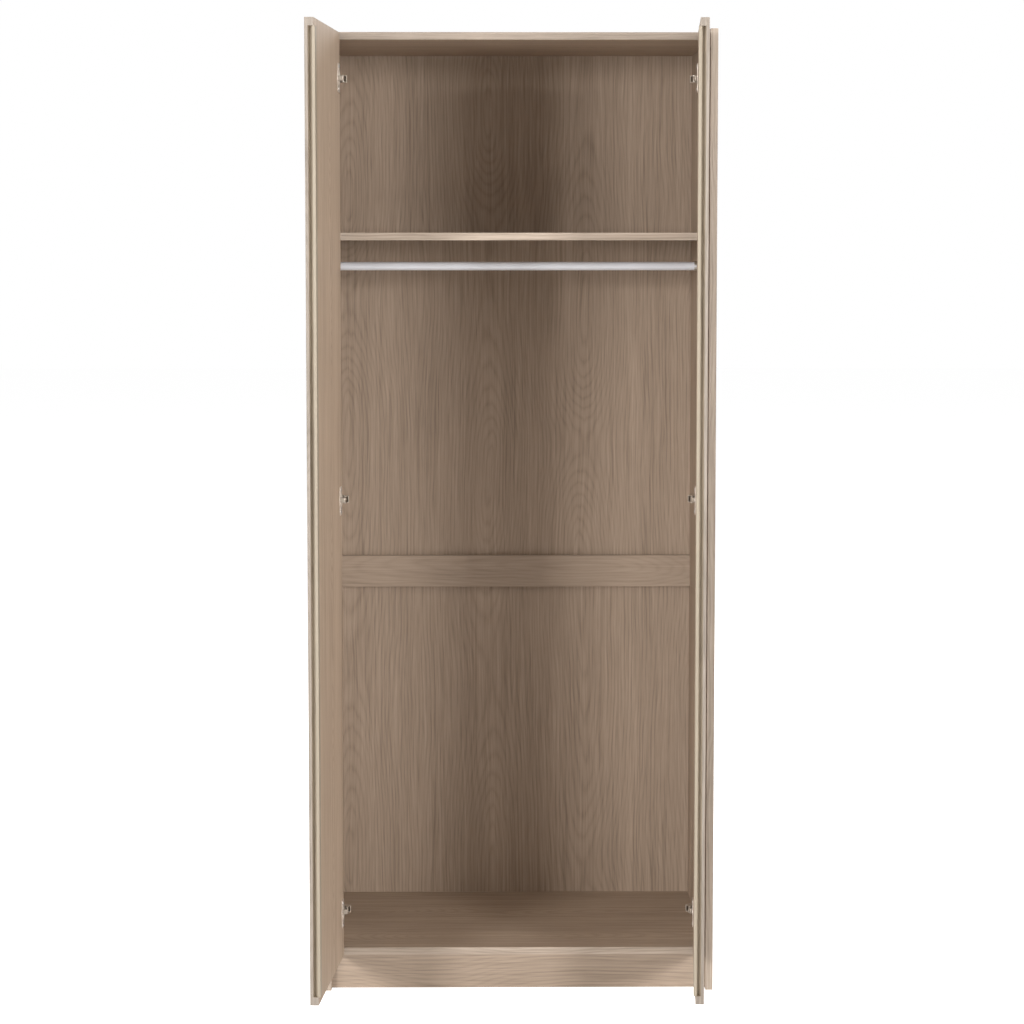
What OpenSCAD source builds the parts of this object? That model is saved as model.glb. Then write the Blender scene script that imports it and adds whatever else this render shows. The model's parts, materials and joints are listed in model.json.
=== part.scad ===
// Two-door wardrobe in grey oak laminate, with inset doors on concealed cup hinges.
// Millimetres. +X is to the right, +Y runs from the doors to the back, +Z is up.
// The origin is on the floor, midway between the sides, and midway between the rear
// edges and the free edges of the doors as they stand here, open.

/* [Cabinet] */
// Width over both side panels
width = 856; // [700:1:1000]
// Height of the side panels
height = 2100; // [1900:1:2300]
// Depth of the side panels, front edge to rear edge
depth = 558; // [500:1:620]
// Thickness of every carcass board
board = 16; // [16:1:19]
// How far the top, bottom and plinth stand behind the side panels' front edges
setback = 20.5; // [20.5:0.5:24]
// How far the top panel's upper face is below the side panels' top ends
top_drop = 7; // [4:1:12]
// Height of the plinth board and of the mid back rail
rail_board_h = 74; // [60:1:90]
// Gap between the plinth and the floor
plinth_lift = 1.5; // [0.5:0.5:4]

/* [Interior] */
// Height of the shelf's underside above the floor
shelf_z = 1647.5; // [1500:0.5:1720]
// How far the shelf's front edge is behind the bottom panel's
shelf_setback = 18; // [5:1:60]
// How far the hanging rail's axis is below the shelf's underside
rail_drop = 58; // [40:1:120]
// Outer diameter of the hanging rail
rail_d = 19; // [18:1:25]
// Height of the mid back rail's lower edge above the floor
mid_rail_z = 830; // [700:1:1000]
// Thickness of the back panels
back_t = 3; // [3:0.5:4]
// Distance from the rear edges to the rear face of the back panels
back_recess = 12; // [8:1:20]

/* [Doors] */
// Thickness of the doors
door_t = 18; // [17:0.5:18.5]
// Height of the doors' lower edges above the floor
door_z = 80; // [78:1:84]
// Gap between a door and its side panel when closed
side_gap = 1.5; // [1.5:0.1:2.5]
// Gap between the two doors when closed
centre_gap = 3; // [2.5:0.5:4]
// How far the left door stands open, in degrees
left_open = 94.3; // [0:0.1:105]
// How far the right door stands open, in degrees
right_open = 86.4; // [0:0.1:105]
// Thickness of the outer lip beside the finger groove
lip_t = 6.7; // [5:0.1:8]
// Width of the finger groove in the door's free edge
groove_w = 8.6; // [7:0.1:9]
// Depth of the finger groove
groove_d = 10; // [6:0.5:14]
// Distance from a door's end to the end of its groove and grip strip
groove_stop = 17; // [16:1:30]
// Width of the grip strip, across the door's inner face
strip_w = 22; // [18:1:30]
// How far the grip strip stands proud of the door's inner face
strip_proud = 3.7; // [2:0.1:4]

/* [Hinges] */
// Distance from a door's end to the middle of the nearest hinge
hinge_inset = 98; // [80:1:140]

/* [Hidden] */
$fn = 48;
SIDES = ["left", "right"];
LEVELS = ["top", "middle", "bottom"];

// Colours
OAK = [0.62, 0.54, 0.46];
OAK_EDGE = [0.72, 0.65, 0.57];
CREAM = [0.86, 0.79, 0.68];
STEEL = [0.78, 0.77, 0.75];
ALU = [0.80, 0.81, 0.83];
DOWEL_WOOD = [0.80, 0.66, 0.46];

// Carcass planes
inner_w = width - 2 * board;
door_w = inner_w / 2 - side_gap - centre_gap / 2;
pivot_in = 8;                                    // door's hinge edge to its turning axis
reach = door_w - pivot_in;                       // turning axis to the door's free edge
open_depth = reach * max(sin(left_open), sin(right_open));
front_y = -(depth - open_depth) / 2;             // front edges of the side panels
rear_y = front_y + depth;
carcass_y = front_y + setback;                   // front edges of the top and bottom
back_y = rear_y - back_recess - back_t;          // front faces of the back panels
top_z = height - top_drop - board;               // underside of the top panel
bottom_z = plinth_lift + rail_board_h;           // underside of the bottom panel
shelf_y = carcass_y + shelf_setback;
mid_rail_y = back_y - board;
rail_y = (carcass_y + back_y) / 2;
rail_z = shelf_z - rail_drop;
back_split_z = mid_rail_z + rail_board_h / 2;    // the back panels meet behind the rail
groove_play = 0.2;
back_groove_d = 6;
back_gap = 0.5;                                  // between a back panel's edge and what it ends at

// Doors, each drawn closed about its own turning axis: +X to the free edge, +Y inwards
door_top_gap = 2;                                // door's top end to the top panel's upper face
door_h = top_z + board - door_top_gap - door_z;
pivot_x = inner_w / 2 - side_gap - pivot_in;
strip_t = door_t - lip_t - groove_w + strip_proud;
strip_y = lip_t + groove_w;
strip_h = door_h - 2 * groove_stop;

// Hinges, in the same closed-door coordinates
wall_x = -side_gap - pivot_in;                   // inner face of the side panel
cup_d = 35;
cup_x = 22.5 - pivot_in;                         // centre of the cup
cup_depth = 12;
cup_wall = 1;
flange_t = 1.8;
flange_x = [cup_x - 13, cup_x + 13.2];           // edges of the plate round the cup
flange_z = 31.2;                                 // half of its height
flange_corner = 5;
cup_screw_x = cup_x + 6;
cup_screw_z = 24;                                // half of the 48 mm screw spacing
arm_h = 15;
arm_sheet = 1.5;
arm_foot_x = -1;                                 // the arm lies on the mounting plate here
pin_at = [25.3, 10.8];                           // axis of the lever's pin
pin_r = 1.5;
lever_run = 15;
lever_hook = 7.6;
lever_w = 3.2;
lever_h = 10;
lever_ratio = -0.955;                            // lever turn for each degree of the door
plate_t = 2;                                     // wings of the mounting plate
plate_wing_r = 7;
plate_y = [42, 84];                              // the plate's raised rail under the arm
plate_rail_h = 17;
plate_screw_y = 57;
plate_screw_z = 16;                              // half of the 32 mm system spacing
clamp_y = 72;
adjuster_y = 50;
hinge_z = [for (f = [1, 0.5, 0]) door_z + hinge_inset + f * (door_h - 2 * hinge_inset)];

// Cam fittings: [board, y, z, face that the cam goes in from]
cam_r = 7.5;
cam_h = 12.5;
cam_in = 34;                                     // side panel to the cam's centre
bolt_bore_r = 4;
board_mid = board / 2;
cam_rows = [37, depth - setback - 95];           // behind the front edge of the top and bottom
shelf_row_lead = 10;                             // the shelf's rows are nearer its front edge by this
CAMS = [
    for (y = cam_rows) ["top_panel", carcass_y + y, top_z + board_mid, "up"],
    for (y = cam_rows) ["bottom_panel", carcass_y + y, bottom_z + board_mid, "down"],
    for (y = cam_rows) ["shelf", shelf_y + y - shelf_row_lead, shelf_z + board_mid, "up"],
    ["mid_back_rail", mid_rail_y + board_mid, mid_rail_z + rail_board_h - 22, "rear"],
    ["plinth", carcass_y + board_mid, plinth_lift + rail_board_h - 26, "rear"],
];
// Dowels: [board, y, z]
dowel_r = 4;
dowel_play = 0.05;
dowel_rows = [cam_rows[0] + 32, cam_rows[1] - 32];
DOWELS = [
    for (y = dowel_rows) ["top_panel", carcass_y + y, top_z + board_mid],
    for (y = dowel_rows) ["bottom_panel", carcass_y + y, bottom_z + board_mid],
    for (y = dowel_rows) ["shelf", shelf_y + y - shelf_row_lead, shelf_z + board_mid],
    ["mid_back_rail", mid_rail_y + board_mid, mid_rail_z + 22],
    ["plinth", carcass_y + board_mid, plinth_lift + 20],
];
nail_count = 5;                                  // along each back panel's edge
nail_row = 18;                                   // rail's middle to each row of nails
bracket_w = 30;
bracket_leg = 28;
bracket_t = 2;

function open_angle(side) = side == "left" ? left_open : right_open;
function level_z(level) = hinge_z[search([level], LEVELS)[0]];

// ---------- placing ----------

// Draws its children for the left, or mirrored for the right
module on_side(side) {
    if (side == "left") children();
    else mirror([1, 0, 0]) children();
}

module both_sides() {
    for (s = SIDES) on_side(s) children();
}

// Closed-door coordinates, standing still with the cabinet
module at_pivot(side) on_side(side) translate([-pivot_x, front_y, 0]) children();

// The same coordinates, turned with the door to where it stands open
module on_door(side) at_pivot(side) rotate([0, 0, -open_angle(side)]) children();

// The end of a board against a side panel's inner face: +X runs into the board,
// +Z towards the face that the cam goes in from
module board_end(y, z, face = "up") {
    turn = face == "up" ? 0 : face == "down" ? 180 : -90;
    both_sides() translate([-inner_w / 2, y, z]) rotate([turn, 0, 0]) children();
}

// ---------- small hardware ----------

module x_rod(r, from, to) translate([from, 0, 0]) rotate([0, 90, 0]) cylinder(r = r, h = to - from);

module cross_recess(span, deep) {
    for (a = [0, 90]) rotate([0, 0, a])
        translate([-span / 2, -span / 10, -deep]) cube([span, span / 5, deep + 1]);
}

// A screw with its head's underside at z = 0 and its shank going down
module screw(shank_r, shank_l, head_r, head_h) {
    difference() {
        union() {
            cylinder(r1 = head_r, r2 = head_r * 0.72, h = head_h);
            translate([0, 0, -shank_l]) cylinder(r = shank_r, h = shank_l);
        }
        translate([0, 0, head_h]) cross_recess(head_r * 1.1, head_h * 0.6);
    }
}

module cam_seat() translate([cam_in, 0, board_mid - cam_h]) cylinder(r = cam_r + 0.05, h = cam_h + 1);

module cam() {
    translate([cam_in, 0, 0]) difference() {
        translate([0, 0, board_mid - cam_h + 0.1]) cylinder(r = cam_r, h = cam_h - 0.1);
        translate([-cam_r - 1, -4, -3.8]) cube([cam_r + 3, 8, 7.6]);
        translate([0, 0, board_mid]) cross_recess(9, 2.2);
    }
}

module cam_bolt() {
    x_rod(3, -11, 0.2);
    x_rod(3.6, 0, 2);
    x_rod(2.6, 1.8, cam_in - 4);
    x_rod(3.4, cam_in - 4.2, cam_in);
}

// Bores in a board's two ends for its cams, bolts and dowels
module board_bores(name) {
    for (c = CAMS) if (c[0] == name) board_end(c[1], c[2], c[3]) {
        cam_seat();
        x_rod(bolt_bore_r, -1, cam_in);
    }
    for (d = DOWELS) if (d[0] == name) board_end(d[1], d[2]) x_rod(dowel_r + dowel_play, -1, 20.5);
}

// ---------- carcass ----------

module side_panel(side) {
    color(OAK) difference() {
        translate([side == "left" ? -width / 2 : inner_w / 2, front_y, 0]) cube([board, depth, height]);
        on_side(side) {
            translate([-inner_w / 2 - back_groove_d, back_y - groove_play, bottom_z])
                cube([back_groove_d + 1, back_t + 2 * groove_play, top_z + board - bottom_z]);
            for (c = CAMS) translate([-inner_w / 2, c[1], c[2]]) x_rod(3.05, -11.5, 1);
            for (d = DOWELS) translate([-inner_w / 2, d[1], d[2]]) x_rod(dowel_r + dowel_play, -10.5, 1);
            translate([-inner_w / 2, rail_y, rail_z]) socket_screw_places() x_rod(1.8, -13, 1);
        }
        for (z = hinge_z) at_pivot(side) translate([wall_x, plate_screw_y, z]) plate_screw_places()
            x_rod(2.05, -12.5, 1);
    }
}

module left_side() side_panel("left");
module right_side() side_panel("right");

module carcass_board(name, y, z, d) {
    color(OAK) difference() {
        translate([-inner_w / 2, y, z]) cube([inner_w, d, board]);
        board_bores(name);
        children();
    }
}

module back_slot(z) {
    translate([-inner_w / 2 - 1, back_y - groove_play, z])
        cube([inner_w + 2, back_t + 2 * groove_play, back_groove_d + 1]);
}

module top_panel() carcass_board("top_panel", carcass_y, top_z, rear_y - carcass_y) {
    back_slot(top_z - 1);
    bracket_screw_places() cylinder(r = 1.8, h = 30, center = true);
}

module bottom_panel() carcass_board("bottom_panel", carcass_y, bottom_z, rear_y - carcass_y)
    back_slot(bottom_z + board - back_groove_d);

module shelf() carcass_board("shelf", shelf_y, shelf_z, back_y - back_gap - shelf_y);

// A board on edge between the side panels
module edge_board(name, y, z) {
    color(OAK) difference() {
        translate([-inner_w / 2, y, z]) cube([inner_w, board, rail_board_h]);
        board_bores(name);
        if (name == "mid_back_rail") nail_places() rotate([-90, 0, 0])
            translate([0, 0, -15]) cylinder(r = 0.85, h = 16);
    }
}

module plinth() edge_board("plinth", carcass_y, plinth_lift);
module mid_back_rail() edge_board("mid_back_rail", mid_rail_y, mid_rail_z);

module back_panel(z0, z1) {
    w = inner_w + 2 * (back_groove_d - back_gap);
    color(OAK) difference() {
        translate([-w / 2, back_y, z0]) cube([w, back_t, z1 - z0]);
        nail_places() rotate([-90, 0, 0]) cylinder(r = 0.85, h = 20, center = true);
    }
}

module upper_back() back_panel(back_split_z + back_gap, top_z + back_groove_d - back_gap);
module lower_back() back_panel(bottom_z + board - back_groove_d + back_gap, back_split_z - back_gap);

// Nail positions, on the back panels' front plane behind the mid back rail
module nail_places() {
    for (i = [0 : nail_count - 1], dz = [-nail_row, nail_row])
        translate([(i / (nail_count - 1) - 0.5) * (inner_w - 160), back_y, back_split_z + dz]) children();
}

module back_nails() {
    color(STEEL) nail_places() rotate([-90, 0, 0]) {
        translate([0, 0, -14]) cylinder(r = 0.8, h = 14 + back_t);
        translate([0, 0, back_t]) cylinder(r = 2, h = 0.7);
    }
}

// ---------- joining hardware ----------

module cam_locks() color(STEEL) for (c = CAMS) board_end(c[1], c[2], c[3]) cam();
module cam_bolts() color(STEEL) for (c = CAMS) board_end(c[1], c[2], c[3]) cam_bolt();
module dowels() color(DOWEL_WOOD) for (d = DOWELS) board_end(d[1], d[2]) x_rod(dowel_r, -10, 20);

// ---------- hanging rail ----------

socket_floor = 3;
socket_collar = 12;

module socket_screw_places() for (y = [-12.5, 12.5]) translate([0, y, 0]) children();

module rail_socket(side) {
    on_side(side) translate([-inner_w / 2, rail_y, rail_z]) color(STEEL) difference() {
        union() {
            x_rod(rail_d / 2 + 8, 0, socket_floor);
            x_rod(rail_d / 2 + 1.7, 0, socket_collar);
        }
        x_rod(rail_d / 2 + 0.1, socket_floor, socket_collar + 1);
        socket_screw_places() x_rod(1.9, -1, socket_collar);
        socket_screw_places() x_rod(3.4, socket_floor - 0.8, socket_collar + 1);
    }
}

module rail_socket_left() rail_socket("left");
module rail_socket_right() rail_socket("right");

module hanging_rail() {
    end = inner_w / 2 - socket_floor - 0.5;
    color(ALU) translate([0, rail_y, rail_z]) difference() {
        x_rod(rail_d / 2, -end, end);
        x_rod(rail_d / 2 - 1.2, -end - 1, end + 1);
    }
}

module rail_screws() {
    color(STEEL) both_sides() translate([-inner_w / 2 + socket_floor - 0.8, rail_y, rail_z])
        socket_screw_places() rotate([0, 90, 0]) screw(1.7, 14, 3.2, 1.8);
}

// ---------- doors ----------

module door_slab() translate([-pivot_in, 0, door_z]) cube([door_w, door_t, door_h]);

module door_panel(side) {
    stop_z = door_z + groove_stop;
    on_door(side) color(OAK) difference() {
        door_slab();
        translate([reach - groove_d, lip_t, stop_z]) cube([groove_d + 1, groove_w + 0.01, strip_h]);
        translate([reach - strip_w, strip_y, stop_z]) cube([strip_w + 1, door_t, strip_h]);
        for (z = hinge_z) translate([0, 0, z]) {
            translate([cup_x, door_t, 0]) rotate([90, 0, 0])
                translate([0, 0, -1]) cylinder(r = cup_d / 2, h = cup_depth + 1);
            cup_screw_places() cylinder(r = 1.75, h = 13);
        }
    }
}

module left_door() door_panel("left");
module right_door() door_panel("right");

// The cream strip that closes the finger groove and stands proud of the inner face
module grip_strip(side) {
    on_door(side) color(CREAM) translate([reach - strip_w, strip_y, door_z + groove_stop])
        cube([strip_w, strip_t, strip_h]);
}

module left_grip_strip() grip_strip("left");
module right_grip_strip() grip_strip("right");

// ---------- hinges ----------

// Cup screws start on the door's inner face: +Z runs into the door
module cup_screw_places() {
    for (s = [-1, 1]) translate([cup_screw_x, door_t, s * cup_screw_z]) rotate([90, 0, 0]) children();
}

module flange_outline() {
    w = flange_x[1] - flange_x[0];
    translate([cup_x, 0]) circle(r = 19);
    for (x = [flange_x[0] + flange_corner, flange_x[1] - flange_corner], s = [-1, 1])
        translate([x, s * (flange_z - flange_corner)]) circle(r = flange_corner);
    translate([flange_x[0], flange_corner - flange_z]) square([w, 2 * (flange_z - flange_corner)]);
    translate([flange_x[0] + flange_corner, -flange_z]) square([w - 2 * flange_corner, 2 * flange_z]);
}

module hinge_cup(side, level) {
    r = cup_d / 2 - 0.1;
    deep = cup_depth - 0.2;
    on_door(side) translate([0, door_t, level_z(level)]) rotate([90, 0, 0]) color(STEEL) difference() {
        union() {
            translate([cup_x, 0, 0]) cylinder(r = r, h = deep);
            translate([0, 0, -flange_t]) linear_extrude(flange_t) flange_outline();
        }
        translate([cup_x, 0, -flange_t - 1]) cylinder(r = r - cup_wall, h = flange_t + deep + 0.2);
        for (s = [-1, 1]) translate([cup_screw_x, s * cup_screw_z, -flange_t - 1]) cylinder(r = 1.9, h = 9);
    }
}

module cup_screws(side) {
    on_door(side) for (z = hinge_z) translate([0, 0, z]) color(STEEL) cup_screw_places()
        translate([0, 0, -flange_t]) mirror([0, 0, 1]) screw(1.7, 13, 3.6, 1.4);
}

module cup_screws_left() cup_screws("left");
module cup_screws_right() cup_screws("right");

// Wing plate screws start on the side panel's inner face
module plate_screw_places() for (z = [-plate_screw_z, plate_screw_z]) translate([0, 0, z]) children();

module hinge_plate(side, level) {
    rise = arm_foot_x - wall_x;
    at_pivot(side) translate([wall_x, 0, level_z(level)]) color(STEEL) difference() {
        union() {
            translate([0, plate_screw_y - plate_wing_r, -plate_screw_z])
                cube([plate_t, 2 * plate_wing_r, 2 * plate_screw_z]);
            translate([0, plate_screw_y, 0]) plate_screw_places() x_rod(plate_wing_r, 0, plate_t);
            translate([0, plate_y[0], -plate_rail_h / 2]) cube([rise, plate_y[1] - plate_y[0], plate_rail_h]);
        }
        translate([0, plate_screw_y, 0]) plate_screw_places() x_rod(2.1, -1, plate_t + 1);
        translate([0, clamp_y, 0]) x_rod(1.95, 1, rise + 1);
        translate([0, adjuster_y, 0]) x_rod(2.6, 3, rise + 1);
    }
}

module plate_screws() {
    color(STEEL) for (s = SIDES, z = hinge_z) at_pivot(s) translate([wall_x + plate_t, plate_screw_y, z])
        plate_screw_places() rotate([0, 90, 0]) screw(2, 14, 3.8, 1.6);
}

// Outline of the cranked arm, from its foot over the plate to the tip that the cup closes on
ARM = [[-1, 82], [6.5, 82], [6.5, 46], [33, 30], [33, 21.5], [28, 21.5], [28, 7.8],
       [22.6, 7.8], [22.6, 22.5], [10, 22.5], [-1, 34]];
// The same arm's hollow, which leaves a web and two cheeks
ARM_HOLLOW = [[-2, 83], [5, 83], [5, 45.15], [31.5, 29.15], [31.5, 0], [-2, 0]];

module hinge_arm(side, level) {
    at_pivot(side) translate([0, 0, level_z(level)]) color(STEEL) difference() {
        linear_extrude(arm_h, center = true) polygon(ARM);
        linear_extrude(arm_h - 2 * arm_sheet, center = true) polygon(ARM_HOLLOW);
        translate(pin_at) cylinder(r = pin_r, h = arm_h + 2, center = true);
        translate([0, clamp_y, 0]) x_rod(2.1, 4, 8);
        translate([0, adjuster_y, 0]) x_rod(2.7, 4, 8);
    }
}

module hinge_pins() {
    color(STEEL) for (s = SIDES, z = hinge_z) at_pivot(s) translate([pin_at[0], pin_at[1], z])
        cylinder(r = pin_r - 0.02, h = arm_h + 0.8, center = true);
}

// A clamp screw through the arm into the plate, and the adjusting screw in front of it
module arm_screws() {
    color(STEEL) for (s = SIDES, z = hinge_z) at_pivot(s) {
        translate([6.5, clamp_y, z]) rotate([0, 90, 0]) screw(1.9, 12, 4.2, 2);
        translate([6.5, adjuster_y, z]) rotate([0, 90, 0]) screw(2.5, 9, 3.4, 1.2);
    }
}

// Cranked lever on the arm's pin, drawn for a closed door and turned with the opening
module hinge_lever(side, level) {
    at_pivot(side) translate([pin_at[0], pin_at[1], level_z(level)])
        rotate([0, 0, -lever_ratio * open_angle(side)]) color(STEEL)
        linear_extrude(lever_h, center = true) difference() {
            union() {
                circle(r = 2.9);
                translate([-lever_run, -lever_w / 2]) square([lever_run, lever_w]);
                translate([-lever_run, 0]) circle(d = lever_w);
                translate([-lever_run - lever_w / 2, 0]) square([lever_w, lever_hook]);
                translate([-lever_run, lever_hook]) circle(d = lever_w);
            }
            circle(r = pin_r + 0.05);
        }
}

// ---------- wall bracket ----------

module bracket_screw_places() {
    for (x = [-8, 8]) translate([x, rear_y - 18, top_z + board]) children();
}

module wall_bracket() {
    z = top_z + board;
    color(STEEL) difference() {
        translate([-bracket_w / 2, rear_y - bracket_leg, z]) cube([bracket_w, bracket_leg, bracket_t]);
        bracket_screw_places() cylinder(r = 2.1, h = 20, center = true);
    }
    color(STEEL) difference() {
        translate([-bracket_w / 2, rear_y - bracket_t, z]) cube([bracket_w, bracket_t, bracket_leg]);
        translate([0, rear_y, z + 17]) rotate([90, 0, 0]) cylinder(r = 3, h = 20, center = true);
    }
}

module bracket_screws() {
    color(STEEL) bracket_screw_places() translate([0, 0, bracket_t]) screw(1.7, 13, 3.6, 1.6);
}

// ---------- nodes ----------

left_side();
right_side();
top_panel();
bottom_panel();
plinth();
shelf();
mid_back_rail();
upper_back();
lower_back();
hanging_rail();
rail_socket_left();
rail_socket_right();
rail_screws();
left_door();
right_door();
left_grip_strip();
right_grip_strip();
cam_locks();
cam_bolts();
dowels();
back_nails();
wall_bracket();
bracket_screws();
hinge_pins();
plate_screws();
arm_screws();
cup_screws_left();
cup_screws_right();
for (s = SIDES, l = LEVELS) {
    hinge_cup(s, l);
    hinge_arm(s, l);
    hinge_plate(s, l);
    hinge_lever(s, l);
}
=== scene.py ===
"""Looks of the two-door wardrobe: grey oak laminate, cream strips and nickel hinges, in studio light."""

import json
import math

import bpy
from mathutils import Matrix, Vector


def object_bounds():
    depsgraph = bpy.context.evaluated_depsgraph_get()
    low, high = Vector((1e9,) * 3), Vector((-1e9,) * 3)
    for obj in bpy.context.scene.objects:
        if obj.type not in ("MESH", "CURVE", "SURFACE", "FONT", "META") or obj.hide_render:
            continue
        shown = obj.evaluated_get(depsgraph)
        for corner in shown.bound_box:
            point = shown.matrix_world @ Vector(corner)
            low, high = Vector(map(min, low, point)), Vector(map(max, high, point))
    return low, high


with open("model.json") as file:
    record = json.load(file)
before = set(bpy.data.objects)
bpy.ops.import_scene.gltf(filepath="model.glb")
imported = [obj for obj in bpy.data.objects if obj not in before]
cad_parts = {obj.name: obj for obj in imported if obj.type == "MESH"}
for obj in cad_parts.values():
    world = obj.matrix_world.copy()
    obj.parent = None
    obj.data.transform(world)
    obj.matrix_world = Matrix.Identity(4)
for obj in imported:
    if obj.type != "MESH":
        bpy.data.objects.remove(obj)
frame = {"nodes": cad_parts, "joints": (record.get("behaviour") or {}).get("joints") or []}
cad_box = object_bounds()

NODES = frame["nodes"]
JOINTS = {joint["name"]: joint for joint in frame["joints"]}
SIDES = ("left", "right")
LEVELS = ("top", "middle", "bottom")
X, Y, Z = 0, 1, 2
PLAIN = (1.0, 1.0, 1.0)


# ---------------------------------------------------------------- shader helpers

class Shader:
    """A material's node tree, with short ways to add the nodes that the surfaces below need."""

    def __init__(self, name):
        self.material = bpy.data.materials.new(name)
        self.material.use_nodes = True
        self.tree = self.material.node_tree
        self.bsdf = self.tree.nodes["Principled BSDF"]

    def node(self, kind, **settings):
        made = self.tree.nodes.new(kind)
        for key, value in settings.items():
            setattr(made, key, value)
        return made

    def feed(self, value, socket):
        """Links a socket, or sets a constant on it."""
        if isinstance(value, bpy.types.NodeSocket):
            self.tree.links.new(value, socket)
        else:
            socket.default_value = value

    def math(self, operation, *values):
        made = self.node("ShaderNodeMath", operation=operation)
        for value, socket in zip(values, made.inputs):
            self.feed(value, socket)
        return made.outputs[0]

    def object_point(self):
        return self.node("ShaderNodeTexCoord").outputs["Object"]

    def split(self, vector):
        made = self.node("ShaderNodeSeparateXYZ")
        self.feed(vector, made.inputs[0])
        return list(made.outputs)

    def join(self, x, y, z):
        made = self.node("ShaderNodeCombineXYZ")
        for value, socket in zip((x, y, z), made.inputs):
            self.feed(value, socket)
        return made.outputs[0]

    def scaled(self, vector, *factors):
        """The vector with each coordinate multiplied by its own factor, such as lines in a metre along it."""
        return self.join(*(self.math("MULTIPLY", value, factor)
                           for value, factor in zip(self.split(vector), factors)))

    def turned(self, vector, angle):
        """The vector turned about Z."""
        made = self.node("ShaderNodeVectorRotate", rotation_type="Z_AXIS")
        self.feed(vector, made.inputs["Vector"])
        made.inputs["Angle"].default_value = angle
        return made.outputs[0]

    def noise(self, vector, scale=1.0, detail=2.0, roughness=0.5):
        made = self.node("ShaderNodeTexNoise")
        self.feed(vector, made.inputs["Vector"])
        made.inputs["Scale"].default_value = scale
        made.inputs["Detail"].default_value = detail
        made.inputs["Roughness"].default_value = roughness
        return made.outputs["Fac"]

    def ramp(self, value, *stops):
        """A colour ramp of (position, colour) stops; a grey is given as one number."""
        made = self.node("ShaderNodeValToRGB")
        self.feed(value, made.inputs[0])
        points = made.color_ramp.elements
        while len(points) < len(stops):
            points.new(0.5)
        for point, (position, colour) in zip(points, stops):
            point.position = position
            point.color = (*colour, 1) if isinstance(colour, tuple) else (colour, colour, colour, 1)
        return made.outputs[0]

    def mix(self, factor, a, b, blend="MIX"):
        """Two colours mixed. A Mix node's colours are its inputs 6 and 7, and its output 2."""
        made = self.node("ShaderNodeMix", data_type="RGBA", blend_type=blend)
        for value, socket in zip((factor, a, b), (made.inputs[0], made.inputs[6], made.inputs[7])):
            if isinstance(value, tuple):
                value = (*value, 1)
            self.feed(value, socket)
        return made.outputs[2]

    def bump(self, height, strength, distance):
        made = self.node("ShaderNodeBump")
        made.inputs["Strength"].default_value = strength
        made.inputs["Distance"].default_value = distance
        self.feed(height, made.inputs["Height"])
        self.feed(made.outputs[0], self.bsdf.inputs["Normal"])

    def finish(self, **inputs):
        """Sets or links the surface's inputs, named with _ for each space, and returns the material."""
        for key, value in inputs.items():
            if isinstance(value, tuple):
                value = (*value, 1)
            self.feed(value, self.bsdf.inputs[key.replace("_", " ")])
        return self.material


# ---------------------------------------------------------------- grey oak print

FIGURE_LENGTH = 0.85       # mean length of an arched figure along a heart, in metres
FIGURE_DRIFT = 0.90        # how unevenly the figures follow each other along the board, in metres
# The sheet is cut beside these hearts of the tree: place across it and phase along it, in metres
HEARTS = [
    (-0.395, 0.95),
    (-0.062, 0.06),
    (0.161, 0.42),
    (0.470, 0.70),
]
HEART_DEPTH = 0.036        # mean depth of a heart behind the sheet, and how far it wanders nearer and deeper
HEART_SWING = 0.031
HEART_BLEND = 0.02         # how softly one heart's rings pass into the next one's
GRAIN_WANDER = 0.040       # how far the grain strays sideways along the board, in metres
RINGS = 125                # growth rings in a metre
# Tone through one growth ring: pale early wood, then a dark line of late wood
RING_TONES = [(0.0, 0.44), (0.20, 0.60), (0.60, 0.54), (0.84, 0.26), (0.93, 0.34), (1.0, 0.44)]
RING_WEIGHT = 0.42         # share of the rings, and of the pores, in the tone
PORE_WEIGHT = 0.50
# Streaks that the tone also has: lines per metre, length in metres, seed, detail and weight
TONE_STREAKS = [
    (230.0, 0.35, 3.0, 3.0, 0.85),
    (90.0, 0.90, 4.0, 2.0, 0.36),
    (14.0, 2.50, 7.0, 2.0, 0.34),
]
TONE_MIDDLE = 0.52         # the tone printed as OAK_MID, and how far from it OAK_DARK and OAK_LIGHT are
TONE_SPREAD = 0.30
OAK_DARK = (0.235, 0.173, 0.123)
OAK_MID = (0.355, 0.268, 0.197)
OAK_LIGHT = (0.455, 0.350, 0.264)
PORE_RELIEF = 0.5          # how strongly the pores show in the relief, beside the tone
PORE_DULLNESS = 0.10       # how much roughness they add at most


def streaks(shader, across, along, fineness, length, seed, detail=3.0):
    """Noise drawn out along the board: fineness is in lines per metre, length in metres."""
    point = shader.join(shader.math("MULTIPLY", across, fineness), seed, shader.math("DIVIDE", along, length))
    return shader.noise(point, detail=detail, roughness=0.62)


def weighed(shader, parts):
    """0.5 plus the sum of each value's distance from 0.5 times its weight."""
    total = 0.5
    for value, weight in parts:
        total = shader.math("MULTIPLY_ADD", value, weight, shader.math("ADD", total, -weight / 2))
    return total


def heart_distance(shader, across, along, heart_across, phase):
    """How far the sheet is from one heart of the tree, which comes nearer once in each figure's length."""
    turns = 2 * math.pi / FIGURE_LENGTH
    swing = shader.math("SINE", shader.math("MULTIPLY_ADD", along, turns, (phase - FIGURE_DRIFT / 2) * turns))
    depth = shader.math("MULTIPLY_ADD", swing, HEART_SWING, HEART_DEPTH)
    aside = shader.math("SUBTRACT", across, heart_across)
    depth_squared = shader.math("MULTIPLY", depth, depth)
    return shader.math("SQRT", shader.math("MULTIPLY_ADD", aside, aside, depth_squared))


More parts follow.
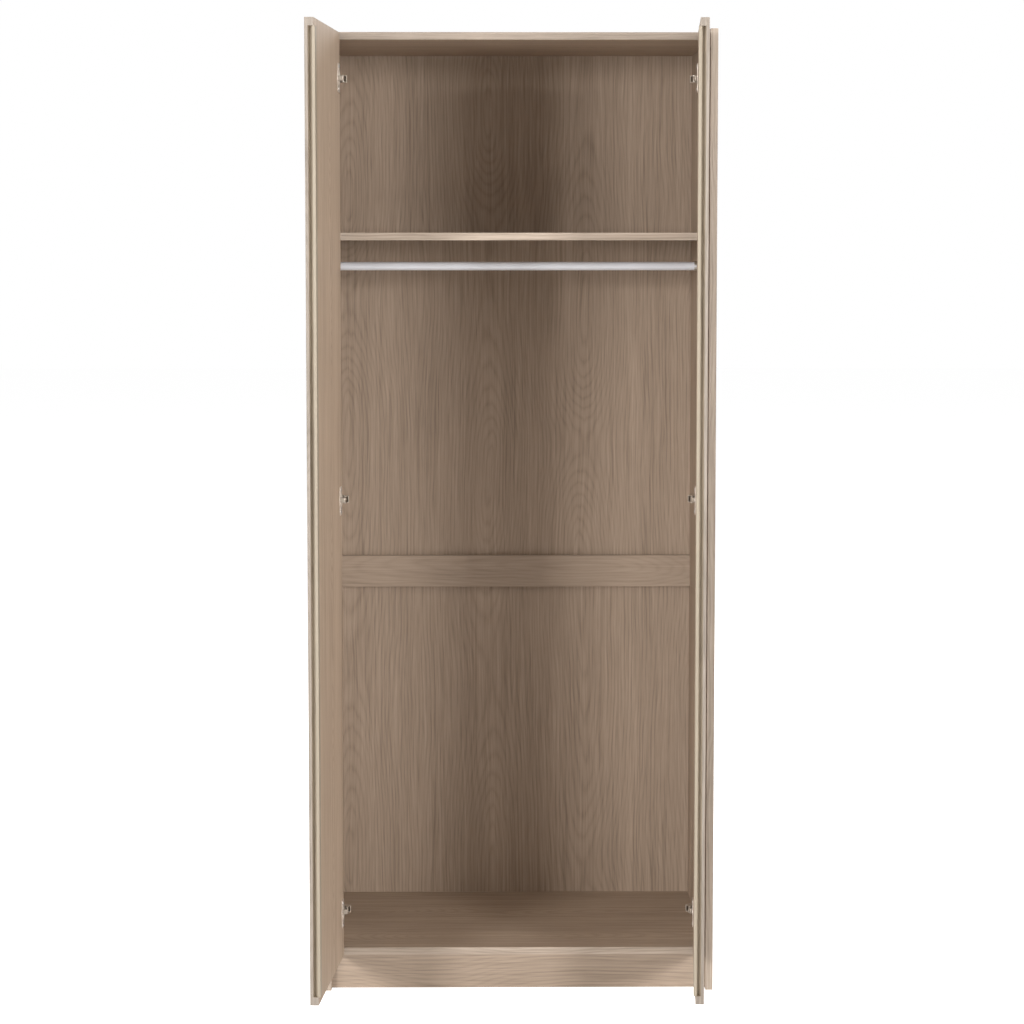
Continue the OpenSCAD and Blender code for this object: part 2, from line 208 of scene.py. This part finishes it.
def oak_grain(shader, across, along, offset):
    """Grain as (tone, pores): the tone from 0, dark, to 1, light, and the fine pores from 0 to 1."""
    across = shader.math("ADD", across, offset[0])
    along = shader.math("ADD", along, offset[1])
    wander = streaks(shader, across, along, fineness=6.0, length=0.75, seed=offset[0] + 9.0)
    unbent = shader.math("SUBTRACT", across, GRAIN_WANDER / 2)
    bent = shader.math("MULTIPLY_ADD", wander, GRAIN_WANDER, unbent)
    drift = streaks(shader, across, along, fineness=2.0, length=0.90, seed=12.0, detail=1.0)
    place = shader.math("MULTIPLY_ADD", drift, FIGURE_DRIFT, along)
    nearest = None
    for heart_across, phase in HEARTS:
        distance = heart_distance(shader, bent, place, heart_across, phase)
        nearest = distance if nearest is None else shader.math("SMOOTH_MIN", nearest, distance, HEART_BLEND)
    ragged = streaks(shader, across, along, fineness=70.0, length=0.14, seed=2.0)
    ring = shader.math("FRACT", shader.math("MULTIPLY_ADD", nearest, RINGS, ragged))
    pores = streaks(shader, bent, along, fineness=330.0, length=0.08, seed=5.0, detail=2.0)
    parts = [(shader.ramp(ring, *RING_TONES), RING_WEIGHT), (pores, PORE_WEIGHT)]
    for fineness, length, seed, detail, weight in TONE_STREAKS:
        parts.append((streaks(shader, bent, along, fineness, length, seed, detail), weight))
    return weighed(shader, parts), pores


def board_axes(shader, layout, turn):
    """(across, along) of a board. layout names the object's axes for them, such as "xz"."""
    point = shader.object_point()
    if turn:
        point = shader.turned(point, turn)
    x, y, z = shader.split(point)
    axis = {"x": x, "y": y, "z": z}
    return axis[layout[0]], axis[layout[1]]


def laminate(name, layout, offset, turn=0.0, tint=PLAIN, roughness=0.52, contrast=1.0):
    """The print on a board that stands turned about Z; offset moves it across and along the board. tint
    multiplies its colour: on the back sheets it is the print's own colour, and on the boards and doors it
    paints light and shade.
    """
    shader = Shader(name)
    across, along = board_axes(shader, layout, turn)
    tone, pores = oak_grain(shader, across, along, offset)
    spread = TONE_SPREAD / contrast
    colour = shader.ramp(tone, (TONE_MIDDLE - spread, OAK_DARK), (TONE_MIDDLE, OAK_MID),
                         (TONE_MIDDLE + spread, OAK_LIGHT))
    colour = shader.mix(1.0, colour, tint, "MULTIPLY")
    relief = shader.math("ADD", tone, shader.math("MULTIPLY", pores, PORE_RELIEF))
    shader.bump(relief, strength=0.12, distance=0.0004)
    rough = shader.math("ADD", roughness, shader.math("MULTIPLY", pores, PORE_DULLNESS))
    return shader.finish(Base_Color=colour, Roughness=rough)


def edge_tint(brightness, grey=1.0):
    """Edge bands are printed greyer than the faces: grey is by how much, where 1 is usual. brightness
    lightens or darkens the band as painted light and shade.
    """
    return brightness, brightness * (1 + 0.06 * grey), brightness * (1 + 0.13 * grey)


# ---------------------------------------------------------------- other surfaces

def chipboard(name):
    """Bare core, seen in bores and slots."""
    shader = Shader(name)
    point = shader.object_point()
    chips = shader.node("ShaderNodeTexVoronoi")
    shader.feed(point, chips.inputs["Vector"])
    chips.inputs["Scale"].default_value = 420.0
    fleck = shader.split(chips.outputs["Color"])[0]
    dust = shader.noise(point, scale=900.0, detail=3.0, roughness=0.6)
    colour = shader.ramp(fleck, (0.1, (0.30, 0.20, 0.11)), (0.6, (0.46, 0.34, 0.21)),
                         (1.0, (0.58, 0.46, 0.31)))
    colour = shader.mix(shader.math("MULTIPLY", dust, 0.5), colour, (0.34, 0.25, 0.16))
    shader.bump(dust, strength=0.5, distance=0.0004)
    return shader.finish(Base_Color=colour, Roughness=0.85)


def hardboard(name):
    """Bare rear face of the back sheets."""
    shader = Shader(name)
    point = shader.object_point()
    fibres = shader.noise(point, scale=260.0, detail=5.0, roughness=0.7)
    clouds = shader.noise(point, scale=9.0, detail=3.0, roughness=0.6)
    colour = shader.ramp(fibres, (0.3, (0.30, 0.215, 0.135)), (0.7, (0.43, 0.325, 0.215)))
    colour = shader.mix(shader.math("MULTIPLY", clouds, 0.35), colour, (0.36, 0.27, 0.18))
    shader.bump(fibres, strength=0.35, distance=0.0003)
    return shader.finish(Base_Color=colour, Roughness=0.8)


def cream_strip(name):
    """Matt cream laminate of the grip strips, with a faint vertical figure."""
    shader = Shader(name)
    drawn_out = shader.scaled(shader.object_point(), 300.0, 300.0, 5.0)
    figure = shader.noise(drawn_out, detail=3.0, roughness=0.6)
    colour = shader.ramp(figure, (0.3, (0.258, 0.214, 0.158)), (0.7, (0.302, 0.253, 0.190)))
    shader.bump(figure, strength=0.08, distance=0.0003)
    return shader.finish(Base_Color=colour, Roughness=0.5)


DULLED = 0.82              # brightness of a metal's clouded patches, and how strongly they show
CLOUDING = 0.45


def metal(name, colour, roughness, wear=0.08, metallic=1.0):
    """Plated metal with fine scratches; wear is how far they spread its roughness."""
    shader = Shader(name)
    point = shader.object_point()
    scratches = shader.noise(point, scale=2500.0, detail=2.0, roughness=0.55)
    clouds = shader.noise(point, scale=60.0, detail=3.0, roughness=0.6)
    dulled = tuple(c * DULLED for c in colour)
    tone = shader.mix(shader.math("MULTIPLY", clouds, CLOUDING), colour, dulled)
    rough = shader.math("ADD", roughness - wear / 2, shader.math("MULTIPLY", scratches, wear))
    shader.bump(scratches, strength=0.05, distance=0.0001)
    return shader.finish(Base_Color=tone, Roughness=rough, Metallic=metallic)


def satin_tube(name):
    """Silver lacquered rail, with drawing lines along its length."""
    shader = Shader(name)
    drawn_out = shader.scaled(shader.object_point(), 3.0, 1800.0, 1800.0)
    lines = shader.noise(drawn_out, detail=2.0, roughness=0.5)
    colour = shader.ramp(lines, (0.3, (0.67, 0.68, 0.72)), (0.7, (0.76, 0.77, 0.81)))
    rough = shader.math("ADD", 0.34, shader.math("MULTIPLY", lines, 0.08))
    shader.bump(lines, strength=0.04, distance=0.0001)
    return shader.finish(Base_Color=colour, Roughness=rough, Metallic=0.12)


def beech(name):
    """Turned beech of the dowels, with its fibres along X."""
    shader = Shader(name)
    drawn_out = shader.scaled(shader.object_point(), 30.0, 500.0, 500.0)
    fibres = shader.noise(drawn_out, detail=3.0, roughness=0.6)
    colour = shader.ramp(fibres, (0.3, (0.50, 0.34, 0.19)), (0.7, (0.66, 0.48, 0.30)))
    shader.bump(fibres, strength=0.2, distance=0.0002)
    return shader.finish(Base_Color=colour, Roughness=0.65)


# ---------------------------------------------------------------- ways to dress a CAD node

# Sharp edges are rounded by a hair, in metres, so that they catch the light
BOARD_ROUNDING = 0.0006
STRIP_ROUNDING = 0.0007
FITTING_ROUNDING = 0.0004
HINGE_ROUNDING = 0.00035
LEVER_ROUNDING = 0.0001

# Places of a board's materials on its node: a board has the first three, and a door has them all
FACE, BAND, CUT, LINING, FRONT = range(5)
SQUARE = 0.99              # a normal with this much of its length along an axis is square to it
HAIR = 0.00005             # a face this close to the outside of the board's box is part of it


def edge_softened(name, width, segments=2):
    """Rounds a node's sharp edges, once flat faces that were cut into triangles are whole again."""
    piece = NODES[name]
    weld = piece.modifiers.new("weld", "WELD")
    weld.merge_threshold = 0.00001
    flat = piece.modifiers.new("flat", "DECIMATE")
    flat.decimate_type = "DISSOLVE"
    flat.angle_limit = math.radians(0.5)
    flat.delimit = {"MATERIAL"}
    bevel = piece.modifiers.new("bevel", "BEVEL")
    bevel.width = width
    bevel.segments = segments
    bevel.limit_method = "ANGLE"
    bevel.angle_limit = math.radians(40)
    bevel.harden_normals = True


def paint(name, *materials):
    """Gives a node its materials; the first is on every face until they are sorted."""
    mesh = NODES[name].data
    mesh.materials.clear()
    for material in materials:
        mesh.materials.append(material)
    mesh.polygons.foreach_set("material_index", [0] * len(mesh.polygons))


def sort_faces(name, thickness_axis, turn=0.0, lined=None, front=FACE):
    """Puts FACE, or front where it looks forward, on a board's faces, and BAND on its rim. What is cut into
    the board is CUT, or LINING where the test lined says so. turn about Z squares the board to the axes."""
    mesh = NODES[name].data
    c, s = math.cos(turn), math.sin(turn)

    def local(v):
        return Vector((c * v.x - s * v.y, s * v.x + c * v.y, v.z))

    points = [local(v.co) for v in mesh.vertices]
    low = [min(p[i] for p in points) for i in range(3)]
    high = [max(p[i] for p in points) for i in range(3)]
    for polygon in mesh.polygons:
        normal = local(polygon.normal)
        centre = local(polygon.center)
        axis = max(range(3), key=lambda i: abs(normal[i]))
        on_box = centre[axis] < low[axis] + HAIR or centre[axis] > high[axis] - HAIR
        outside = on_box and abs(normal[axis]) > SQUARE
        if outside and axis != thickness_axis:
            polygon.material_index = BAND
        elif outside:
            polygon.material_index = front if normal[axis] < 0 else FACE
        else:
            polygon.material_index = LINING if lined and lined(centre, low, high) else CUT


# ---------------------------------------------------------------- boards, doors and back sheets

# node: (thickness axis, layout, brightness and contrast of its faces, layout and brightness of its edge
# bands, offset of its print). The brightnesses paint light and shade on the one laminate, to even out how
# the lamps light each board: the top panel's faces lightened, its edge band darkened, the plinth's faces
# darkened, and some other bands and the mid back rail a little lighter or darker.
BOARDS = {
    "left_side": (X, "yz", 1.0, 1.0, "xz", 0.92, (0.45, 0.20)),
    "right_side": (X, "yz", 1.0, 1.0, "xz", 0.92, (-0.15, 0.85)),
    "top_panel": (Z, "yx", 1.2, 1.0, "zx", 0.74, (0.30, 0.10)),
    "bottom_panel": (Z, "yx", 1.0, 1.0, "zx", 1.0, (-0.10, 0.55)),
    "shelf": (Z, "yx", 1.0, 1.0, "zx", 1.08, (0.55, 0.95)),
    "plinth": (Y, "zx", 0.81, 0.85, "yx", 1.0, (-0.03, 0.30)),
    "mid_back_rail": (Y, "zx", 0.97, 0.62, "yx", 1.0, (-0.72, 1.00)),
}
BAND_OFFSET = 0.31         # a board's bands are cut from this much further across the print, and a door's
DOOR_BAND_OFFSET = 0.37
DOOR_OFFSETS = {"left": (0.20, 0.40), "right": (0.62, 1.05)}
# What the print's colour is multiplied by. On the doors this paints light and shade on the one laminate:
# their insides lightened, their fronts and edge bands darkened, and the finger groove toned as an evenly
# shaded recess; the edge bands' greyness is the print's. On the back sheets it is the print's own colour.
DOOR_INSIDE_LIGHTENED = (1.1, 1.1, 1.1)
DOOR_FRONT_SHADED = (0.82, 0.82, 0.82)
DOOR_BAND_SHADED = edge_tint(0.69, 1.75)
GROOVE_SHADED = (0.96, 1.02, 0.99)
BACK_FACE = (0.93, 0.92, 0.91)
GROOVE_REACH = 0.03        # the finger groove and the strip's rebate are this close to a door's free edge
BACK_OFFSET = (0.0, 0.35)


def boards(core):
    """Printed on their faces and bands, and bare where bores and slots are cut into them."""
    for name, (axis, face, face_light_and_shade, contrast, band, band_light_and_shade, offset) in BOARDS.items():
        band_offset = (offset[0] + BAND_OFFSET, offset[1])
        # the tints paint light and shade: each board's brightness from BOARDS
        paint(name,
              laminate(name + "_face", face, offset, tint=(face_light_and_shade, face_light_and_shade, face_light_and_shade), contrast=contrast),
              laminate(name + "_edge", band, band_offset, tint=edge_tint(band_light_and_shade)),
              core)
        sort_faces(name, axis)
        edge_softened(name, BOARD_ROUNDING)


def open_angle(side):
    """How far a door stands open at rest, in radians: closed is the far end of its joint's range."""
    closed = max(JOINTS[side + "_door_hinge"]["range_deg"], key=abs)
    return math.radians(abs(closed))


def near_free_edge(side):
    """The test that tells a door's finger groove and rebate from its bores, for sort_faces."""
    if side == "left":
        return lambda at, low, high: at.x > high[0] - GROOVE_REACH
    return lambda at, low, high: at.x < low[0] + GROOVE_REACH


def doors(core):
    """The doors' print is laid out as if they were closed, and so are the tests that sort their faces."""
    for side in SIDES:
        name = side + "_door"
        offset = DOOR_OFFSETS[side]
        band_offset = (offset[0] + DOOR_BAND_OFFSET, offset[1])
        turn = open_angle(side) if side == "left" else -open_angle(side)
        # the tints paint light and shade: the inside lightened, the front, band and groove shaded
        inside = laminate(name + "_inside", "xz", offset, turn, DOOR_INSIDE_LIGHTENED)
        front = laminate(name + "_front", "xz", offset, turn, DOOR_FRONT_SHADED)
        band = laminate(name + "_edge", "yz", band_offset, turn, DOOR_BAND_SHADED)
        groove = laminate(name + "_groove", "yz", offset, turn, GROOVE_SHADED)
        paint(name, inside, band, core, groove, front)
        sort_faces(name, Y, turn, near_free_edge(side), FRONT)
        edge_softened(name, BOARD_ROUNDING)


def back_sheets():
    """Printed in front, bare behind and on the rim."""
    rear = hardboard("back_rear")
    for name in ("upper_back", "lower_back"):
        paint(name, laminate(name + "_face", "xz", BACK_OFFSET, tint=BACK_FACE, roughness=0.6), rear)
        for polygon in NODES[name].data.polygons:
            polygon.material_index = 0 if polygon.normal.y < -SQUARE else 1


def grip_strips():
    cream = cream_strip("grip_strip")
    for side in SIDES:
        paint(side + "_grip_strip", cream)
        edge_softened(side + "_grip_strip", STRIP_ROUNDING, 3)


# ---------------------------------------------------------------- rail, hinges and fastenings

PLATED_FASTENINGS = ("cup_screws_left", "cup_screws_right", "hinge_pins", "plate_screws", "arm_screws",
                     "rail_screws", "bracket_screws", "cam_bolts", "back_nails", "wall_bracket")


def hinge(end, cup_finish, arm_shaded_metal, plate_finish):
    """The parts of one hinge, whose names all end alike."""
    finishes = {"cup": cup_finish, "arm": arm_shaded_metal, "plate": plate_finish}
    for kind, finish in finishes.items():
        paint(f"hinge_{kind}{end}", finish)
        edge_softened(f"hinge_{kind}{end}", HINGE_ROUNDING)
    paint("hinge_lever" + end, arm_shaded_metal)
    edge_softened("hinge_lever" + end, LEVER_ROUNDING)


def fittings():
    """The hanging rail, the hinges, and all that fastens."""
    # The hinges' nickel comes in two copies: bright on the cups, and darker and warmer on the arms and
    # levers, which paints the shade on them and the oak's reflection in them.
    bright_nickel = metal("bright_nickel", (0.78, 0.70, 0.62), 0.36, metallic=0.7)
    nickel = metal("nickel", (0.47, 0.405, 0.335), 0.48, metallic=0.75)
    zinc = metal("zinc_casting", (0.50, 0.46, 0.41), 0.40, wear=0.16)
    steel = metal("zinc_plate", (0.62, 0.60, 0.57), 0.34)
    paint("hanging_rail", satin_tube("satin_rail"))
    for side in SIDES:
        paint("rail_socket_" + side, zinc)
        edge_softened("rail_socket_" + side, FITTING_ROUNDING)
        for level in LEVELS:
            hinge(f"_{side}_{level}", bright_nickel, nickel, zinc)
    for name in PLATED_FASTENINGS:
        paint(name, steel)
    edge_softened("wall_bracket", FITTING_ROUNDING)
    paint("cam_locks", zinc)
    paint("dowels", beech("beech_dowel"))


# ---------------------------------------------------------------- studio

FLOOR_HALF = 30.0          # half the floor's width
FLOOR_COLOUR = (0.86, 0.86, 0.86)
FLOOR_GLOW = 0.90          # keeps the floor near white where the lamps leave it dim
FILL = 0.10                # brightness of the studio's walls, as the wardrobe sees them
# name, azimuth from straight in front, distance from the doors' free edges, height, size, power in watts
SOFTBOXES = [
    ("key_left", -34, 8.0, 2.2, (1.25, 1.6), 424),
    ("key_right", 33, 8.0, 2.2, (1.25, 1.6), 424),
    ("side_left", -53.5, 8.0, 4.5, (1.25, 2.5), 200),
    ("side_right", 53.5, 8.0, 4.5, (1.25, 2.5), 200),
    ("front", 0, 9.0, 5.9, (8.2, 4.9), 130),
    ("rear_left", -150, 5.5, 2.4, (2.0, 2.0), 80),
    ("rear_right", 150, 5.5, 2.4, (2.0, 2.0), 80),
]
OVERHEAD_FORWARD = 1.5     # this one hangs over the floor in front of the doors and looks straight down
OVERHEAD_HEIGHT = 4.5
OVERHEAD_SIZE = (5.0, 4.0)
OVERHEAD_POWER = 76

CAMERA_AT = (-0.068, -6.006, 1.642)
CAMERA_DOWN = 4.78         # degrees below level, and to the right of straight ahead
CAMERA_RIGHT = 0.52
FILM_WIDTH = 36.0          # in millimetres, as is the lens
LENS = 96.4
SHIFT_Y = -0.039


def seen_directly(tree, plain, seen):
    """A value that is plain for the light on other things, and seen where the camera looks straight at it."""
    value = tree.nodes.new("ShaderNodeMapRange")
    value.inputs["To Min"].default_value = plain
    value.inputs["To Max"].default_value = seen
    tree.links.new(tree.nodes.new("ShaderNodeLightPath").outputs["Is Camera Ray"], value.inputs["Value"])
    return value.outputs["Result"]


def studio_floor():
    """A floor that looks evenly pale to the camera, and reflects light as matt paper does."""
    corners = [(x * FLOOR_HALF, y * FLOOR_HALF, 0) for x, y in ((-1, -1), (1, -1), (1, 1), (-1, 1))]
    mesh = bpy.data.meshes.new("studio_floor")
    mesh.from_pydata(corners, [], [(0, 1, 2, 3)])
    floor = bpy.data.objects.new("studio_floor", mesh)
    bpy.context.scene.collection.objects.link(floor)
    shader = Shader("pale_floor")
    glow = seen_directly(shader.tree, 0.0, FLOOR_GLOW)
    mesh.materials.append(shader.finish(Base_Color=FLOOR_COLOUR, Roughness=0.9,
                                        Emission_Color=PLAIN, Emission_Strength=glow))


def softbox(name, at, aim, size, power):
    """An oblong lamp at one place, turned to another."""
    data = bpy.data.lights.new(name, "AREA")
    data.shape = "RECTANGLE"
    data.size, data.size_y = size
    data.energy = power
    light = bpy.data.objects.new(name, data)
    light.location = at
    light.rotation_euler = (Vector(aim) - Vector(at)).to_track_quat("-Z", "Y").to_euler()
    bpy.context.scene.collection.objects.link(light)


def studio_light():
    """The softboxes stand round the doors' free edges and aim at them, at half the wardrobe's height."""
    front = cad_box[0].y
    middle = (0, front, cad_box[1].z / 2)
    for name, azimuth, distance, height, size, power in SOFTBOXES:
        turn = math.radians(azimuth)
        at = (distance * math.sin(turn), front - distance * math.cos(turn), height)
        softbox(name, at, middle, size, power)
    softbox("overhead", (0, -OVERHEAD_FORWARD, OVERHEAD_HEIGHT), (0, -OVERHEAD_FORWARD, 0), OVERHEAD_SIZE,
            OVERHEAD_POWER)
    world = bpy.data.worlds.new("studio")
    world.use_nodes = True
    background = world.node_tree.nodes["Background"]
    background.inputs["Color"].default_value = (1, 1, 1, 1)
    world.node_tree.links.new(seen_directly(world.node_tree, FILL, 1.0), background.inputs["Strength"])
    bpy.context.scene.world = world


def camera():
    """Level with the shelf, looking down a little, from the doors' side."""
    data = bpy.data.cameras.new("camera")
    data.sensor_width = FILM_WIDTH
    data.lens = LENS
    data.shift_y = SHIFT_Y
    view = bpy.data.objects.new("camera", data)
    view.location = CAMERA_AT
    view.rotation_euler = (math.radians(90 - CAMERA_DOWN), 0, math.radians(-CAMERA_RIGHT))
    bpy.context.scene.collection.objects.link(view)
    bpy.context.scene.camera = view


# ---------------------------------------------------------------- the scene

core = chipboard("chipboard_core")
boards(core)
doors(core)
back_sheets()
grip_strips()
fittings()
studio_floor()
studio_light()
camera()
bpy.context.scene.view_settings.view_transform = "Standard"
